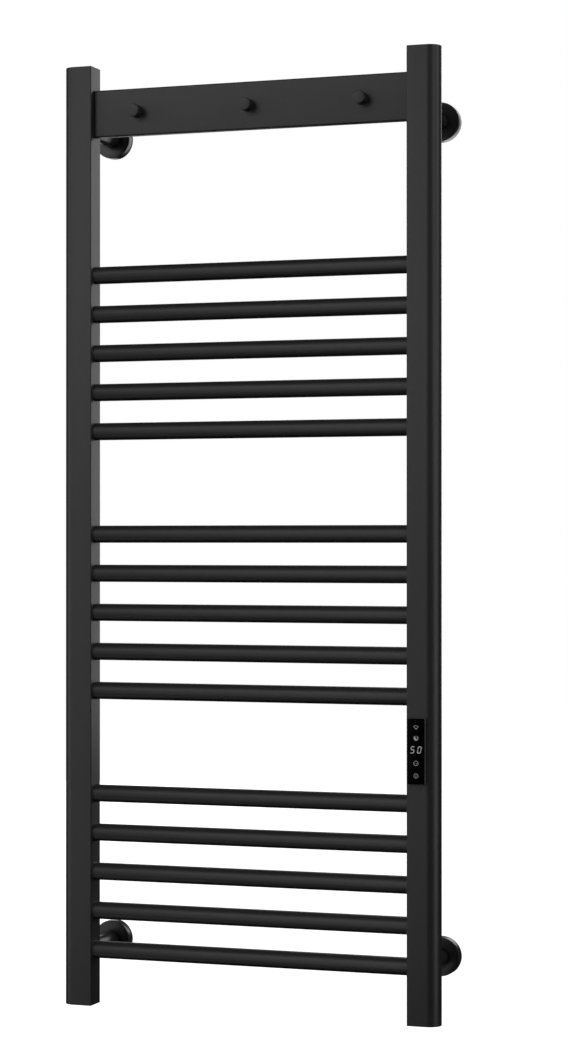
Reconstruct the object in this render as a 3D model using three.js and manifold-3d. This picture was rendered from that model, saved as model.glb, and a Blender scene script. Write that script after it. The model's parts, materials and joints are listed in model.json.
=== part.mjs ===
// Wall-hung electric towel warmer: two D-shaped uprights carry fifteen round
// rungs in three groups and a flat top rail with three pegs. Four stems with
// sliding rosettes hold it off the wall. Millimetres, +Z up, front towards -Y.
// The origin is on the wall plane, at the centre of the four wall fixings.
import * as THREE from 'three';
import { mergeVertices } from 'three/addons/utils/BufferGeometryUtils.js';
import Module from 'manifold-3d';

// Driving dimensions
const rackHeight = 1200;
const innerWidth = 420; // between the flat inner faces of the uprights
const uprightWidth = 40;
const uprightDepth = 30;
const wallThickness = 1.5;
const wallGap = 84; // from the wall to the backs of the uprights
const fixingPitch = 1050; // between the lower and the upper wall fixings
const fixingInset = 14; // fixing axis, outboard of an upright's inner face

const rungDiameter = 22;
const rungWall = 1.2;
const rungsPerGroup = 5;
const rungGroups = 3;
const rungPitch = 50;
const groupPitch = 331.3;

const rail = { height: 60, depth: 12, wall: 1.2, corner: 2, frontSetback: 9, fromTop: 60.5 };
const peg = { diameter: 16, length: 15, pitch: 150, edge: 0.8 };
const pegStud = { diameter: 5, intoPeg: 9, intoRail: 6 };

const stem = { diameter: 20, end: 6, studDepth: 14 };
const stemStud = { diameter: 8, insideUpright: 6, length: 18 };
const spigot = { diameter: 12, reach: 38, flangeDiameter: 40, flange: 4, screwHole: 5.4, headHole: 8.6, seat: 12 };
const rosette = { diameter: 49, depth: 13.3, wall: 1.5, edge: 0.8, collar: 24, collarBack: 5 };
const grub = { diameter: 5, fromWall: 24 };
const fit = 0.3; // clearance between neighbouring pieces

const cap = { plate: 3, skirt: 12, skirtWall: 1.5 };
const grommet = { diameter: 12, bore: 7, lip: 15, lipDepth: 1.5 };

const panel = { width: 22.6, height: 80.5, bottom: 296, inset: 2.2, glass: 1.4, flange: 3.4 };
const tray = { width: 19.4, height: 76, depth: 9, wall: 1.4 };
const board = { width: 15.6, height: 72, thickness: 1.6 };
const display = { width: 15.4, height: 12, centre: 41.8 }; // centre is up from the panel's bottom edge
const terminal = { width: 13.5, depth: 14, height: 18, belowPanel: 3.5 };
const sensor = { diameter: 4, length: 11, abovePanel: 6 };

const cable = { diameter: 5, turnX: 12, returnX: 28, cornerRadius: 9, belowPegs: 15, terminalSpacing: 6, sides: 6 };

const roundSides = 20;
const smallSides = 12;
const boreSides = 8;
const quarterTurn = Math.PI / 2;

// Derived places
const bottomZ = -(fixingPitch / 2 + 70.5);
const topZ = bottomZ + rackHeight;
const uprightFaceX = innerWidth / 2;
const uprightY = -(wallGap + uprightDepth / 2);
const frontY = -(wallGap + uprightDepth);
const railZ = topZ - rail.fromTop;
const railY = frontY + rail.frontSetback + rail.depth / 2;
const cableRailZ = railZ - cable.belowPegs;
const fixingX = uprightFaceX + fixingInset;
const fixingZ = fixingPitch / 2;
const panelX = uprightFaceX + panel.inset + panel.width / 2;
const panelZ = bottomZ + panel.bottom + panel.height / 2;

const rungHeights = [];
for (let group = 0; group < rungGroups; group += 1) {
  for (let rung = 0; rung < rungsPerGroup; rung += 1) {
    rungHeights.push(-fixingZ + group * groupPitch + rung * rungPitch);
  }
}

const sides = [
  { name: 'left', sign: -1 },
  { name: 'right', sign: 1 },
];
const levels = [
  { name: 'lower', z: -fixingZ },
  { name: 'upper', z: fixingZ },
];

// Materials
const finish = (color, roughness, metalness = 0) => new THREE.MeshStandardMaterial({ color, roughness, metalness });
const powderCoat = finish(0x2b2b2b, 0.55, 0.2);
const blackPlastic = finish(0x1c1c1c, 0.6);
const blackGlass = finish(0x0a0a0c, 0.08);
const zincSteel = finish(0xb4b6b8, 0.35, 1);
const rubber = finish(0x18181a, 0.85);
const silicone = finish(0x8d2f28, 0.7);
const boardGreen = finish(0x1f5c3a, 0.5);
const displayGrey = finish(0x3a3d40, 0.4);
const terminalWhite = finish(0xe4e1d8, 0.5);

const rack = new THREE.Group();

function add(name, geometry, material, x = 0, y = 0, z = 0) {
  const mesh = new THREE.Mesh(geometry, material);
  mesh.name = name;
  mesh.position.set(x, y, z);
  rack.add(mesh);
}

// Solid joins and cuts
const wasm = await Module();
wasm.setup();

function toSolid(geometry) {
  const bare = geometry.clone();
  bare.deleteAttribute('normal');
  bare.deleteAttribute('uv');
  const merged = mergeVertices(bare);
  return new wasm.Manifold(new wasm.Mesh({
    numProp: 3,
    vertProperties: merged.attributes.position.array,
    triVerts: new Uint32Array(merged.index.array),
  }));
}

function toGeometry(solid) {
  const { vertProperties, triVerts } = solid.getMesh();
  const geometry = new THREE.BufferGeometry();
  geometry.setAttribute('position', new THREE.BufferAttribute(vertProperties, 3));
  geometry.setIndex(new THREE.BufferAttribute(triVerts, 1));
  return geometry;
}

const cut = (body, tools) => toGeometry(tools.reduce((solid, tool) => solid.subtract(toSolid(tool)), toSolid(body)));
const join = (first, second) => toGeometry(toSolid(first).add(toSolid(second)));

// Basic shapes
function box(width, depth, height, x = 0, y = 0, z = 0) {
  return new THREE.BoxGeometry(width, depth, height).translate(x, y, z);
}

// A solid of revolution about Y. The profile runs anticlockwise, radius first.
function turned(profile, segments = roundSides) {
  return new THREE.LatheGeometry(profile.map(([radius, y]) => new THREE.Vector2(radius, y)), segments);
}

function pin(diameter, fromY, toY, segments = smallSides) {
  const radius = diameter / 2;
  return turned([[0, fromY], [radius, fromY], [radius, toY], [0, toY]], segments);
}

function extruded(shape, length, curveSegments = 8) {
  return new THREE.ExtrudeGeometry(shape, { depth: length, bevelEnabled: false, curveSegments });
}

// D-shaped outline seen from above, flat at x = 0 and half-round at the far side.
function drawD(path, inset) {
  const half = uprightDepth / 2 - inset;
  const arcX = uprightWidth - uprightDepth / 2;
  path.moveTo(inset, -half);
  path.lineTo(arcX, -half);
  path.absarc(arcX, 0, half, -quarterTurn, quarterTurn, false);
  path.lineTo(inset, half);
  path.closePath();
  return path;
}

function drawRoundedBox(path, width, height, corner) {
  const x = width / 2;
  const y = height / 2;
  path.moveTo(-x + corner, -y);
  path.lineTo(x - corner, -y);
  path.absarc(x - corner, -y + corner, corner, -quarterTurn, 0, false);
  path.absarc(x - corner, y - corner, corner, 0, quarterTurn, false);
  path.absarc(-x + corner, y - corner, corner, quarterTurn, 2 * quarterTurn, false);
  path.absarc(-x + corner, -y + corner, corner, 2 * quarterTurn, 3 * quarterTurn, false);
  path.closePath();
  return path;
}

function dTube(inset, wall, length) {
  const outline = drawD(new THREE.Shape(), inset);
  outline.holes.push(drawD(new THREE.Path(), inset + wall));
  return extruded(outline, length);
}

// Uprights: D tubes, bored for the cable at each rung and for the stem studs.
function buildUpright({ name, sign }) {
  const turn = sign < 0 ? Math.PI : 0;
  const body = dTube(0, wallThickness, rackHeight).rotateZ(turn).translate(0, 0, bottomZ);
  const boreLength = 4 * wallThickness;
  const crossBore = (diameter, y, z) =>
    pin(diameter, -boreLength / 2, boreLength / 2, boreSides).rotateZ(quarterTurn).translate(0, y, z);
  const tools = rungHeights.map((z) => crossBore(rungDiameter - 6, 0, z));
  tools.push(crossBore(cable.diameter + 2, railY - uprightY, cableRailZ));
  for (const level of levels) {
    const studHole = pin(stemStud.diameter + 2 * fit, 0, uprightDepth);
    tools.push(studHole.translate(sign * fixingInset, 0, level.z));
  }
  if (sign > 0) {
    const window = box(tray.width + 2 * fit, uprightDepth / 2, tray.height + 2 * fit);
    tools.push(window.translate(panelX - uprightFaceX, -uprightDepth / 2, panelZ));
  }
  add(`${name}_upright`, cut(body, tools), powderCoat, sign * uprightFaceX, uprightY);
}

// End caps: a plate flush with the end of the upright and a skirt that grips inside it.
function buildCap({ name, sign }, end) {
  const inset = wallThickness + fit / 2;
  const plate = extruded(drawD(new THREE.Shape(), inset), cap.plate);
  let body = join(plate, dTube(inset, cap.skirtWall, cap.skirt));
  const hasGrommet = end === 'bottom' && sign > 0;
  if (hasGrommet) {
    const hole = pin(grommet.diameter, -cap.plate, 2 * cap.plate, roundSides).rotateX(quarterTurn);
    const sink = pin(grommet.lip + 2 * fit, -grommet.lipDepth - fit, 1, roundSides).rotateX(-quarterTurn);
    body = cut(body, [hole.translate(uprightWidth / 2, 0, 0), sink.translate(uprightWidth / 2, 0, 0)]);
  }
  if (end === 'top') {
    body.rotateX(Math.PI);
  }
  body.rotateZ(sign < 0 ? Math.PI : 0);
  add(`cap_${end}_${name}`, body, blackPlastic, sign * uprightFaceX, uprightY, end === 'top' ? topZ : bottomZ);
}

// Rubber bush in the lower right cap, where a supply lead enters.
function buildGrommet() {
  const bore = grommet.bore / 2;
  const neck = grommet.diameter / 2 - fit;
  const top = 2 * cap.plate;
  const bush = turned([
    [bore, 0], [grommet.lip / 2, 0], [grommet.lip / 2, grommet.lipDepth],
    [neck, grommet.lipDepth], [neck, top], [bore, top], [bore, 0],
  ]).rotateX(quarterTurn);
  add('supply_grommet', bush, rubber, uprightFaceX + uprightWidth / 2, uprightY, bottomZ);
}

function buildRung(z, index) {
  const outer = rungDiameter / 2;
  const inner = outer - rungWall;
  const half = innerWidth / 2;
  const tube = turned([[inner, -half], [outer, -half], [outer, half], [inner, half], [inner, -half]]);
  add(`rung_${String(index + 1).padStart(2, '0')}`, tube.rotateZ(-quarterTurn), powderCoat, 0, uprightY, z);
}

const pegPlaces = ['left', 'middle', 'right'].map((name, index) => ({
  name,
  x: (index - 1) * peg.pitch,
}));

function buildRail() {
  const outline = drawRoundedBox(new THREE.Shape(), rail.height, rail.depth, rail.corner);
  const innerCorner = rail.corner - rail.wall;
  outline.holes.push(drawRoundedBox(
    new THREE.Path(), rail.height - 2 * rail.wall, rail.depth - 2 * rail.wall, innerCorner));
  const tube = extruded(outline, innerWidth, 4).translate(0, 0, -innerWidth / 2).rotateY(quarterTurn);
  const holes = pegPlaces.map(({ x }) => pin(pegStud.diameter + 2 * fit, -rail.depth, 0).translate(x, 0, 0));
  add('top_rail', cut(tube, holes), powderCoat, 0, railY, railZ);
}

// Pegs: turned studs on the rail's front, each held by a threaded stud.
function buildPeg({ name, x }) {
  const faceY = railY - rail.depth / 2;
  const radius = peg.diameter / 2;
  const bore = pegStud.diameter / 2 + fit / 2;
  const body = turned([
    [0, -peg.length], [radius - peg.edge, -peg.length], [radius, peg.edge - peg.length],
    [radius, 0], [bore, 0], [bore, -pegStud.intoPeg - fit], [0, -pegStud.intoPeg - fit],
  ]);
  add(`peg_${name}`, body, powderCoat, x, faceY, railZ);
  add(`peg_stud_${name}`, pin(pegStud.diameter, -pegStud.intoPeg, pegStud.intoRail), zincSteel, x, faceY, railZ);
}

// Wall fixings: flange with spigot on the wall, stem over the spigot, rosette over both.
function buildFixing(side, level) {
  const place = `${level.name}_${side.name}`;
  const x = side.sign * fixingX;
  const stemRadius = stem.diameter / 2;
  const studBore = stemStud.diameter / 2 + fit;
  const spigotBore = spigot.diameter / 2 + fit;

  const stemBody = turned([
    [0, stem.studDepth - wallGap], [studBore, stem.studDepth - wallGap], [studBore, -wallGap],
    [stemRadius, -wallGap], [stemRadius, -stem.end], [spigotBore, -stem.end],
    [spigotBore, -stem.end - spigot.reach], [0, -stem.end - spigot.reach],
  ]);
  const grubHole = pin(grub.diameter + 2 * fit, 0, stem.diameter).rotateX(-quarterTurn);
  add(`stem_${place}`, cut(stemBody, [grubHole.translate(0, -grub.fromWall, 0)]), powderCoat, x, 0, level.z);

  const studStart = -wallGap - stemStud.insideUpright;
  add(`stem_stud_${place}`, pin(stemStud.diameter, studStart, studStart + stemStud.length), zincSteel, x, 0, level.z);

  const grubBody = pin(grub.diameter, spigot.diameter / 2 + fit / 2, stemRadius - fit).rotateX(-quarterTurn);
  add(`grub_screw_${place}`, grubBody, zincSteel, x, -grub.fromWall, level.z);

  const spigotRadius = spigot.diameter / 2;
  const headRadius = spigot.headHole / 2;
  const screwRadius = spigot.screwHole / 2;
  const flangeRadius = spigot.flangeDiameter / 2;
  const flange = turned([
    [spigotRadius, -spigot.reach], [spigotRadius, -spigot.flange], [flangeRadius, -spigot.flange],
    [flangeRadius, 0], [screwRadius, 0], [screwRadius, -spigot.seat], [headRadius, -spigot.seat],
    [headRadius, -spigot.reach], [spigotRadius, -spigot.reach],
  ]);
  add(`wall_flange_${place}`, flange, zincSteel, x, 0, level.z);

  const outer = rosette.diameter / 2;
  const inner = outer - rosette.wall;
  const bore = stemRadius + fit;
  const front = -rosette.depth;
  const rosetteBody = turned([
    [bore, front], [outer - rosette.edge, front], [outer, front + rosette.edge], [outer, 0], [inner, 0],
    [inner, front + rosette.wall], [rosette.collar / 2, front + rosette.wall],
    [rosette.collar / 2, -rosette.collarBack], [bore, -rosette.collarBack], [bore, front],
  ]);
  add(`rosette_${place}`, rosetteBody, powderCoat, x, 0, level.z);
}

// Touch control: glass on a tray that sits in the right upright's window.
function buildControl() {
  const flangeY = frontY - panel.flange / 2;
  const wall = 2 * tray.wall;
  const shell = box(tray.width, tray.depth, tray.height, 0, frontY + tray.depth / 2);
  const flange = box(panel.width, panel.flange, panel.height, 0, flangeY);
  const hollowDepth = tray.depth + panel.flange;
  const hollow = box(
    tray.width - wall, hollowDepth, tray.height - wall, 0, frontY - panel.flange + hollowDepth / 2 - tray.wall);
  add('control_housing', cut(join(shell, flange), [hollow]), blackPlastic, panelX, 0, panelZ);

  const glassY = frontY - panel.flange - panel.glass / 2;
  add('control_glass', box(panel.width, panel.glass, panel.height), blackGlass, panelX, glassY, panelZ);

  const boardY = frontY + tray.depth - tray.wall - board.thickness / 2;
  add('control_board', box(board.width, board.thickness, board.height), boardGreen, panelX, boardY, panelZ);

  const displayBack = boardY - board.thickness / 2;
  const displayDepth = displayBack - (frontY - panel.flange) - fit / 2;
  const displayZ = panelZ - panel.height / 2 + display.centre;
  add('display_module', box(display.width, displayDepth, display.height), displayGrey,
    panelX, displayBack - displayDepth / 2, displayZ);
}

const terminalX = uprightFaceX + wallThickness + terminal.width / 2;
const terminalZ = panelZ - panel.height / 2 - terminal.belowPanel - terminal.height / 2;

function buildWiring() {
  add('terminal_block', box(terminal.width, terminal.depth, terminal.height), terminalWhite,
    terminalX, uprightY, terminalZ);
  const bulb = new THREE.CapsuleGeometry(sensor.diameter / 2, sensor.length - sensor.diameter, 3, smallSides);
  const sensorZ = panelZ + panel.height / 2 + sensor.abovePanel;
  add('temperature_sensor', bulb.rotateX(quarterTurn), zincSteel,
    uprightFaceX + wallThickness + sensor.diameter / 2, uprightY, sensorZ);
}

// A path through fixed points, one step to a point, whose direction at a corner halves the bend.
class CableRoute extends THREE.Curve {
  constructor(points) {
    super();
    this.points = points;
  }

  getUtoTmapping(u) {
    return u;
  }

  getPoint(t) {
    return this.points[Math.round(t * (this.points.length - 1))].clone();
  }

  getTangent(t) {
    const index = Math.round(t * (this.points.length - 1));
    const here = this.points[index];
    const before = this.points[Math.max(index - 1, 0)];
    const after = this.points[Math.min(index + 1, this.points.length - 1)];
    const arriving = here.clone().sub(before).normalize();
    const leaving = after.clone().sub(here).normalize();
    return arriving.add(leaving).normalize();
  }
}

// Rounds each corner of a route with points on a quarter circle.
function roundCorners(corners, radius, steps = 2) {
  const points = [corners[0]];
  for (let i = 1; i < corners.length - 1; i += 1) {
    const corner = corners[i];
    const back = corners[i - 1].clone().sub(corner).normalize().multiplyScalar(radius);
    const ahead = corners[i + 1].clone().sub(corner).normalize().multiplyScalar(radius);
    const centre = corner.clone().add(back).add(ahead);
    for (let step = 0; step <= steps; step += 1) {
      const angle = (step / steps) * quarterTurn;
      const fromAhead = ahead.clone().multiplyScalar(-Math.cos(angle));
      const fromBack = back.clone().multiplyScalar(-Math.sin(angle));
      points.push(centre.clone().add(fromAhead).add(fromBack));
    }
  }
  points.push(corners[corners.length - 1]);
  return points;
}

// Heating cable: from the terminal block down to the lowest rung, to and fro
// through every rung, back through the top rail and down to the block.
function buildCable() {
  const turnX = uprightFaceX + cable.turnX;
  const returnX = uprightFaceX + cable.returnX;
  const blockX = terminalX + terminal.width / 2;
  const at = (x, z, y = uprightY) => new THREE.Vector3(x, y, z);
  const startZ = terminalZ - cable.terminalSpacing;
  const endZ = terminalZ + cable.terminalSpacing;
  const corners = [at(blockX, startZ), at(returnX, startZ), at(returnX, rungHeights[0])];
  rungHeights.forEach((z, index) => {
    const goesLeft = index % 2 === 0;
    const endX = goesLeft ? -turnX : turnX;
    if (index > 0) {
      corners.push(at(-endX, z));
    }
    corners.push(at(endX, z));
  });
  corners.push(at(-turnX, cableRailZ, railY), at(returnX, cableRailZ, railY));
  corners.push(at(returnX, endZ), at(blockX, endZ));
  const route = new CableRoute(roundCorners(corners, cable.cornerRadius));
  const section = new THREE.Shape().absarc(0, 0, cable.diameter / 2, 0, 2 * Math.PI);
  const body = new THREE.ExtrudeGeometry(section, {
    steps: route.points.length - 1,
    extrudePath: route,
    curveSegments: cable.sides / 2,
  });
  add('heating_cable', body, silicone);
}

sides.forEach(buildUpright);
for (const side of sides) {
  buildCap(side, 'bottom');
  buildCap(side, 'top');
}
buildGrommet();
rungHeights.forEach(buildRung);
buildRail();
pegPlaces.forEach(buildPeg);
for (const side of sides) {
  for (const level of levels) {
    buildFixing(side, level);
  }
}
buildControl();
buildWiring();
buildCable();

export default rack;
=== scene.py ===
import json
import math

import bmesh
import bpy
from mathutils import Matrix, Vector

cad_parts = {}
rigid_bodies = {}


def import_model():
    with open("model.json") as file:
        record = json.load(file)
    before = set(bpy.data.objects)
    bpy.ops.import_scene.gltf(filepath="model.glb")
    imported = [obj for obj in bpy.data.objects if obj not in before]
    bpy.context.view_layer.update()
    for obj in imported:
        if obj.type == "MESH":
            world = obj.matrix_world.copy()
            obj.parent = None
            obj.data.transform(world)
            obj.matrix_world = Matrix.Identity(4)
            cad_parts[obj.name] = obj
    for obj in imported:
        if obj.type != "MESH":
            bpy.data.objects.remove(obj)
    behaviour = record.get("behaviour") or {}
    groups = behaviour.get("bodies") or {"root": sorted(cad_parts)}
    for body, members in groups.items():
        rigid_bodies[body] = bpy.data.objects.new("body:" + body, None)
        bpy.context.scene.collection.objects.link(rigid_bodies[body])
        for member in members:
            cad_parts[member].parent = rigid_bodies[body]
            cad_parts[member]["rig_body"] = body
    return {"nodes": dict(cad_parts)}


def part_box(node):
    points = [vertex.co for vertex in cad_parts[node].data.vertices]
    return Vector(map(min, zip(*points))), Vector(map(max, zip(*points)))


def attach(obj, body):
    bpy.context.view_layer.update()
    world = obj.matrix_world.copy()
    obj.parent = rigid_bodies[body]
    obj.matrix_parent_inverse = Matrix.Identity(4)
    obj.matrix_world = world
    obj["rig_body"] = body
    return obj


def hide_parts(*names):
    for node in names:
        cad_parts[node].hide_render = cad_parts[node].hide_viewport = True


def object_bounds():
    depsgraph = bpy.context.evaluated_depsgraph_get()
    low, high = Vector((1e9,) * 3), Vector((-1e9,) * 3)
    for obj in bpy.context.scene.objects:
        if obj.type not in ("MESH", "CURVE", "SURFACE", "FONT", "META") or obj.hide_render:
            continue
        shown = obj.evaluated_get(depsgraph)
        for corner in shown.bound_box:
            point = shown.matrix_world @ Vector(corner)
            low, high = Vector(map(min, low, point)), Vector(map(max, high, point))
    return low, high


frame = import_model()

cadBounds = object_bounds()
nodes = frame["nodes"]
mm = 0.001
rungCount = 15
pegPlaces = ("left", "middle", "right")
sides = ("left", "right")
mergeDistance = 0.001 * mm
sharpAngle = 50    # in degrees, the least turn between two faces that counts as an edge to round

# Camera, floor and light.

camera = {"place": (1.1409, -3.2081, -0.0038), "yaw": 19.401, "pitch": 0.219, "lens": 89.27, "sensor": 36.0}
floor = {"size": 30.0, "below": 0.36, "tone": 0.9, "glow": 1.0}
world = {"seen": 1.0, "ambient": 0.004}

# Each softbox faces the middle of the rack. Azimuth 0 is in front, 90 is on its right.
softboxes = {
    "frontHighLight": {"azimuth": -24, "elevation": 26, "distance": 7.0, "size": (3.6, 4.6), "power": 86},
    "frontLowLight": {"azimuth": -26, "elevation": -14, "distance": 7.0, "size": (3.6, 5.2), "power": 50},
    "floorBounce": {"azimuth": -10, "elevation": -64, "distance": 7.0, "size": (3.6, 3.0), "power": 30},
    "leftLight": {"azimuth": -67, "elevation": 4, "distance": 7.0, "size": (3.6, 9.0), "power": 120},
    "rightFrontLight": {"azimuth": 60, "elevation": 24, "distance": 7.0, "size": (2.0, 4.6), "power": 52},
    "rightLight": {"azimuth": 80, "elevation": -10, "distance": 7.0, "size": (3.6, 5.6), "power": 95},
    "rightHighLight": {"azimuth": 103, "elevation": 26, "distance": 7.0, "size": (2.0, 4.6), "power": 55},
    "backNearLight": {"azimuth": 166, "elevation": 21, "distance": 0.95, "size": (0.45, 1.5), "power": 3.6},
    "backLeftLight": {"azimuth": -150, "elevation": 6, "distance": 7.0, "size": (2.4, 6.0), "power": 60},
}


def placeCamera():
    made = bpy.data.cameras.new("camera")
    made.lens = camera["lens"]
    made.sensor_width = camera["sensor"]
    made.clip_end = 60
    holder = bpy.data.objects.new("camera", made)
    bpy.context.scene.collection.objects.link(holder)
    holder.location = camera["place"]
    holder.rotation_euler = (math.radians(90 + camera["pitch"]), 0, math.radians(camera["yaw"]))
    bpy.context.scene.camera = holder


def placeSoftboxes():
    for name, box in softboxes.items():
        azimuth, elevation = math.radians(box["azimuth"]), math.radians(box["elevation"])
        flat = math.cos(elevation)
        towards = Vector((math.sin(azimuth) * flat, -math.cos(azimuth) * flat, math.sin(elevation)))
        light = bpy.data.lights.new(name, "AREA")
        light.shape = "RECTANGLE"
        light.size, light.size_y = box["size"]
        light.energy = box["power"]
        holder = bpy.data.objects.new(name, light)
        bpy.context.scene.collection.objects.link(holder)
        holder.location = towards * box["distance"]
        holder.rotation_euler = towards.to_track_quat("Z", "Y").to_euler()
        holder.visible_camera = False


# The camera sees plain white behind the rack, while almost no light comes from there.
def makeWorld():
    made = bpy.data.worlds.new("studio")
    bpy.context.scene.world = made
    made.use_nodes = True
    tree = made.node_tree
    tree.nodes.clear()
    output = tree.nodes.new("ShaderNodeOutputWorld")
    path = tree.nodes.new("ShaderNodeLightPath")
    mix = tree.nodes.new("ShaderNodeMixShader")
    for socket, strength in ((1, world["ambient"]), (2, world["seen"])):
        background = tree.nodes.new("ShaderNodeBackground")
        background.inputs["Color"].default_value = (1, 1, 1, 1)
        background.inputs["Strength"].default_value = strength
        tree.links.new(background.outputs["Background"], mix.inputs[socket])
    tree.links.new(path.outputs["Is Camera Ray"], mix.inputs["Fac"])
    tree.links.new(mix.outputs["Shader"], output.inputs["Surface"])


def makeFloor():
    bm = bmesh.new()
    bmesh.ops.create_grid(bm, x_segments=1, y_segments=1, size=floor["size"])
    bmesh.ops.translate(bm, verts=bm.verts[:], vec=(0, 0, cadBounds[0][2] - floor["below"]))
    mesh = bpy.data.meshes.new("floor")
    bm.to_mesh(mesh)
    bm.free()
    piece = bpy.data.objects.new("floor", mesh)
    bpy.context.scene.collection.objects.link(piece)
    material = bpy.data.materials.new("paleFloor")
    material.use_nodes = True
    shader = material.node_tree.nodes["Principled BSDF"]
    shader.inputs["Base Color"].default_value = (floor["tone"], floor["tone"], floor["tone"], 1)
    shader.inputs["Roughness"].default_value = 0.8
    shader.inputs["Emission Color"].default_value = (1, 1, 1, 1)
    shader.inputs["Emission Strength"].default_value = floor["glow"]
    mesh.materials.append(material)
    piece.visible_diffuse = False
    piece.visible_glossy = False


bpy.context.scene.view_settings.view_transform = "Standard"
placeCamera()
placeSoftboxes()
makeWorld()
makeFloor()
print("camera, floor and light placed")

# Finishes.


class Finish:
    def __init__(self, name, color, roughness, metallic=0.0):
        self.material = bpy.data.materials.new(name)
        self.material.use_nodes = True
        self.tree = self.material.node_tree
        self.shader = self.tree.nodes["Principled BSDF"]
        self.shader.inputs["Base Color"].default_value = (*color, 1)
        self.shader.inputs["Roughness"].default_value = roughness
        self.shader.inputs["Metallic"].default_value = metallic
        self.place = self.tree.nodes.new("ShaderNodeTexCoord").outputs["Object"]

    def noise(self, scale, detail=2.0, stretch=None):
        node = self.tree.nodes.new("ShaderNodeTexNoise")
        node.inputs["Scale"].default_value = scale
        node.inputs["Detail"].default_value = detail
        source = self.place
        if stretch:
            mapping = self.tree.nodes.new("ShaderNodeMapping")
            mapping.inputs["Scale"].default_value = stretch
            self.tree.links.new(self.place, mapping.inputs["Vector"])
            source = mapping.outputs["Vector"]
        self.tree.links.new(source, node.inputs["Vector"])
        return node.outputs["Fac"]

    def vary(self, socket, source, low, high):
        ramp = self.tree.nodes.new("ShaderNodeMapRange")
        ramp.inputs["From Min"].default_value = 0.3
        ramp.inputs["From Max"].default_value = 0.7
        ramp.inputs["To Min"].default_value = low
        ramp.inputs["To Max"].default_value = high
        self.tree.links.new(source, ramp.inputs["Value"])
        self.tree.links.new(ramp.outputs["Result"], self.shader.inputs[socket])

    def tint(self, source, darker, lighter):
        mix = self.tree.nodes.new("ShaderNodeMix")
        mix.data_type = "RGBA"
        mix.inputs["A"].default_value = (*darker, 1)
        mix.inputs["B"].default_value = (*lighter, 1)
        self.tree.links.new(source, mix.inputs["Factor"])
        self.tree.links.new(mix.outputs["Result"], self.shader.inputs["Base Color"])

    def bump(self, source, strength, distance):
        node = self.tree.nodes.new("ShaderNodeBump")
        node.inputs["Strength"].default_value = strength
        node.inputs["Distance"].default_value = distance
        before = self.shader.inputs["Normal"].links
        if before:
            self.tree.links.new(before[0].from_socket, node.inputs["Normal"])
        self.tree.links.new(source, node.inputs["Height"])
        self.tree.links.new(node.outputs["Normal"], self.shader.inputs["Normal"])


def powderCoat(name, lowRough, highRough):
    made = Finish(name, (0.033, 0.033, 0.034), (lowRough + highRough) / 2)
    made.tint(made.noise(7, 3), (0.029, 0.029, 0.030), (0.036, 0.036, 0.037))
    made.vary("Roughness", made.noise(900, 2), lowRough, highRough)
    made.bump(made.noise(420, 1), 0.25, 0.00003)
    made.bump(made.noise(2600, 2), 0.3, 0.00002)
    return made.material


def mouldedPlastic():
    made = Finish("mouldedPlastic", (0.032, 0.032, 0.033), 0.4)
    made.tint(made.noise(60, 2), (0.028, 0.028, 0.029), (0.036, 0.036, 0.037))
    made.vary("Roughness", made.noise(1200, 2), 0.34, 0.46)
    made.bump(made.noise(1900, 2), 0.35, 0.00003)
    return made.material


def panelGlass():
    made = Finish("panelGlass", (0.0005, 0.0005, 0.0006), 0.3)
    made.vary("Roughness", made.noise(35, 3), 0.26, 0.34)
    made.shader.inputs["Specular IOR Level"].default_value = 0.04
    return made.material


# The rim of the glass is painted a pale matt grey, a painted highlight for the light that its narrow side
# catches.
def paintedRimHighlight():
    made = Finish("paintedRimHighlight", (0.22, 0.225, 0.225), 0.5)
    made.tint(made.noise(260, 3), (0.195, 0.2, 0.2), (0.245, 0.25, 0.25))
    made.bump(made.noise(1700, 2), 0.25, 0.00002)
    return made.material


# Pale ink of the touch signs, faintly lit from behind.
def signPrint():
    made = Finish("signPrint", (0.36, 0.37, 0.37), 0.5)
    made.tint(made.noise(300, 2), (0.31, 0.32, 0.32), (0.41, 0.42, 0.42))
    made.shader.inputs["Emission Color"].default_value = (0.9, 0.95, 0.95, 1)
    made.shader.inputs["Emission Strength"].default_value = 0.1
    return made.material


def digitGlow():
    made = Finish("digitGlow", (0.5, 0.51, 0.51), 0.5)
    made.tint(made.noise(300, 2), (0.44, 0.45, 0.45), (0.55, 0.56, 0.56))
    made.shader.inputs["Emission Color"].default_value = (0.92, 0.97, 0.97, 1)
    made.shader.inputs["Emission Strength"].default_value = 0.21
    return made.material


# The control's bezel is a shade lighter than the end caps.
def bezelPlastic():
    made = Finish("bezelPlastic", (0.1, 0.1, 0.102), 0.34)
    made.tint(made.noise(70, 2), (0.092, 0.092, 0.094), (0.108, 0.108, 0.110))
    made.vary("Roughness", made.noise(1200, 2), 0.28, 0.4)
    made.bump(made.noise(2100, 2), 0.25, 0.00002)
    return made.material


def zincPlate():
    made = Finish("zincPlate", (0.60, 0.61, 0.63), 0.34, 1.0)
    made.tint(made.noise(120, 4), (0.50, 0.51, 0.54), (0.68, 0.68, 0.68))
    made.vary("Roughness", made.noise(260, 3), 0.26, 0.44)
    made.bump(made.noise(1500, 2), 0.12, 0.00002)
    return made.material


def blackRubber():
    made = Finish("blackRubber", (0.016, 0.016, 0.016), 0.75)
    made.vary("Roughness", made.noise(500, 2), 0.68, 0.85)
    made.bump(made.noise(1400, 3), 0.3, 0.00004)
    return made.material


def siliconeJacket():
    made = Finish("siliconeJacket", (0.34, 0.07, 0.05), 0.55)
    made.tint(made.noise(40, 3), (0.29, 0.055, 0.04), (0.38, 0.085, 0.06))
    made.vary("Roughness", made.noise(700, 2), 0.48, 0.62)
    made.bump(made.noise(900, 2), 0.2, 0.00003)
    return made.material


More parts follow.
